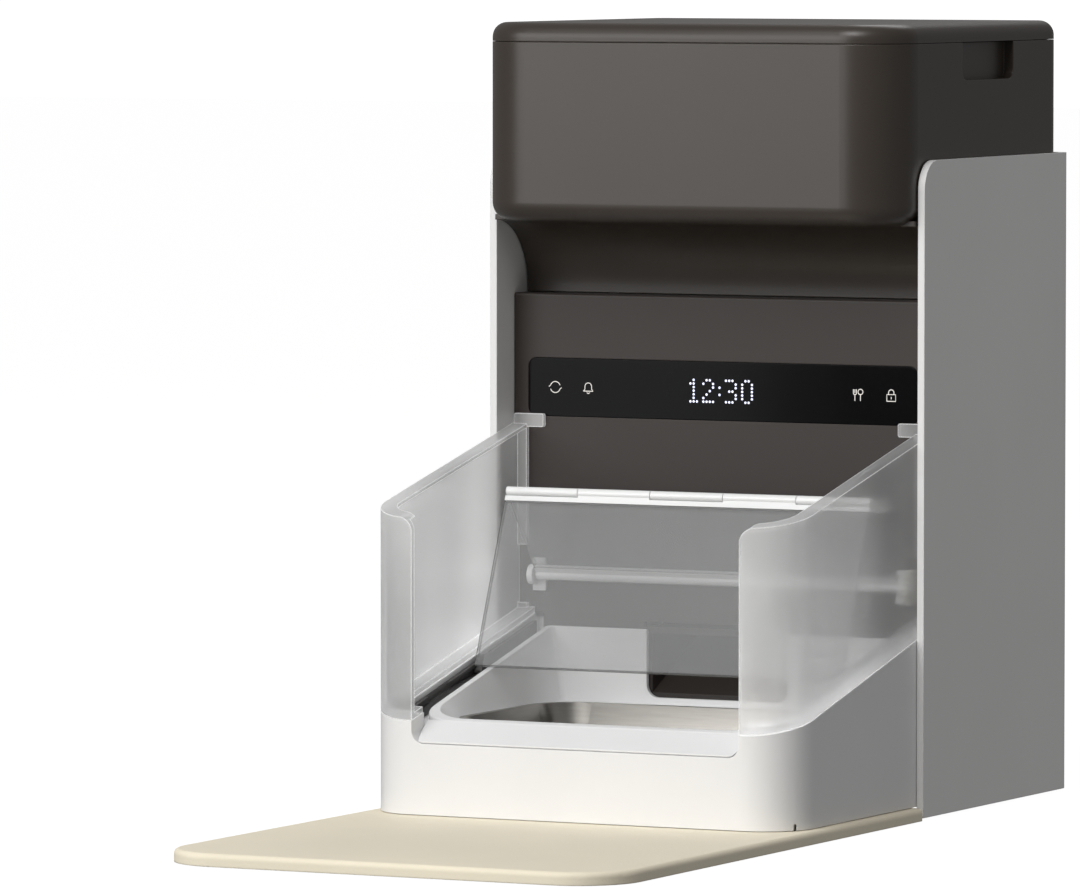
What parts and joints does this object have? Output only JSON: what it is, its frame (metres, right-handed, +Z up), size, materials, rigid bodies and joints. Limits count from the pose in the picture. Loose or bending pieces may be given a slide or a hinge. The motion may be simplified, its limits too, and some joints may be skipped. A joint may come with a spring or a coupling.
{
  "type": "microchip pet feeder",
  "caption": "Automatic pet feeder with a rounded dark hopper, light shell, display panel, folding clear bowl cover, clear side guards, steel bowl, portion wheel and a feeding mat.",
  "frame": {"origin": "centre of the bounding box's underside, on the floor", "axes": "-Y towards the pet and the mat, +X to the feeder's left-hand side seen from behind the hopper, +Z up"},
  "size_m": [0.232, 0.51, 0.3763],
  "materials": {
    "mat_cream": "soft matt",
    "base_white": "satin",
    "underside_grey": "matt",
    "foot_rubber": "matt",
    "cell_jacket": "gloss",
    "steel": "bright",
    "bowl_steel": "satin",
    "shell_light": "fine matt",
    "inlet_black": "matt",
    "guard_clear": "clear",
    "leaf_clear": "smoke clear",
    "rail_dark": "satin",
    "bar_white": "gloss",
    "gear_nylon": "waxy",
    "motor_can": "plated",
    "hopper_brown": "fine satin",
    "panel_brown": "fine satin",
    "liner_grey": "matt",
    "seal_rubber": "soft",
    "display_black": "gloss",
    "board_green": "lacquered",
    "wheel_soft": "soft",
    "chute_dark": "matt",
    "coil_copper": "enamelled"
  },
  "bodies": {
    "chassis": {"mat": "mat_cream", "base_shell": "base_white", "bottom_cover": "underside_grey", "rubber_feet": "foot_rubber", "battery_bay": "underside_grey", "battery_cells": "cell_jacket", "battery_contacts": "steel", "outer_shell": "shell_light", "power_inlet": "inlet_black", "bowl_tray": "base_white", "guard_right": "guard_clear", "guard_left": "guard_clear", "guide_rail_right": "rail_dark", "guide_rail_left": "rail_dark", "hinge_bracket_right": "bar_white", "hinge_bracket_left": "bar_white", "door_motor": "motor_can", "door_motor_mount": "underside_grey", "hopper_body": "hopper_brown", "front_panel": "panel_brown", "display_window": "display_black", "display_board": "board_green", "main_board": "board_green", "dosing_housing": "liner_grey", "dosing_cap": "liner_grey", "gear_cover": "underside_grey", "dosing_motor": "motor_can", "chute": "chute_dark", "antenna_coil": "coil_copper", "speaker": "inlet_black", "case_screws": "steel"},
    "cover_rear": {"rear_leaf": "leaf_clear", "rear_hinge_bar": "bar_white", "fold_bar_rear": "bar_white", "fold_pin": "steel", "hinge_stubs": "steel", "door_gear": "gear_nylon"},
    "cover_front": {"front_leaf": "leaf_clear", "fold_bar_front": "bar_white", "guide_shoes": "rail_dark"},
    "cover_pinion": {"door_pinion": "gear_nylon"},
    "wheel": {"portion_wheel": "wheel_soft", "wheel_shaft": "steel", "wheel_gear": "gear_nylon"},
    "motor_pinion": {"dosing_pinion": "gear_nylon"},
    "bowl": {"food_bowl": "bowl_steel"},
    "lid": {"lid_cap": "hopper_brown", "lid_liner": "liner_grey", "lid_seal": "seal_rubber", "desiccant_box": "liner_grey", "desiccant_cover": "liner_grey"},
    "battery_cover": {"battery_door": "underside_grey"}
  },
  "joints": [
    {"name": "cover_hinge", "type": "hinge", "parent": "chassis", "child": "cover_rear", "pos_m": [0, 0.095, 0.10896], "axis": [-1, 0, 0], "range_deg": [-75.08, 0]},
    {"name": "cover_fold", "type": "hinge", "parent": "cover_rear", "child": "cover_front", "pos_m": [0, 0.06253, 0.15127], "axis": [1, 0, 0], "range_deg": [-120.04, 0.1]},
    {"name": "cover_drive", "type": "hinge", "parent": "chassis", "child": "cover_pinion", "pos_m": [0, 0.111, 0.10896], "axis": [-1, 0, 0], "range_deg": [-0.1, 75.28]},
    {"name": "wheel_spin", "type": "hinge", "parent": "chassis", "child": "wheel", "pos_m": [0, 0.176, 0.165], "axis": [1, 0, 0], "continuous": true},
    {"name": "pinion_spin", "type": "hinge", "parent": "chassis", "child": "motor_pinion", "pos_m": [0, 0.19592, 0.14829], "axis": [1, 0, 0], "continuous": true},
    {"name": "bowl_lift", "type": "slide", "parent": "chassis", "child": "bowl", "axis": [0, 0, 1], "range_m": [0, 0.012]},
    {"name": "lid_lift", "type": "slide", "parent": "chassis", "child": "lid", "axis": [0, 0, 1], "range_m": [0, 0.06]},
    {"name": "battery_cover_slide", "type": "slide", "parent": "chassis", "child": "battery_cover", "axis": [0, -1, 0], "range_m": [0, 0.014]}
  ],
  "couplings": [
    {"joint": "cover_fold", "follows": "cover_hinge", "ratio": 1.5975},
    {"joint": "cover_drive", "follows": "cover_hinge", "ratio": -1},
    {"joint": "pinion_spin", "follows": "wheel_spin", "ratio": -3.3333}
  ]
}
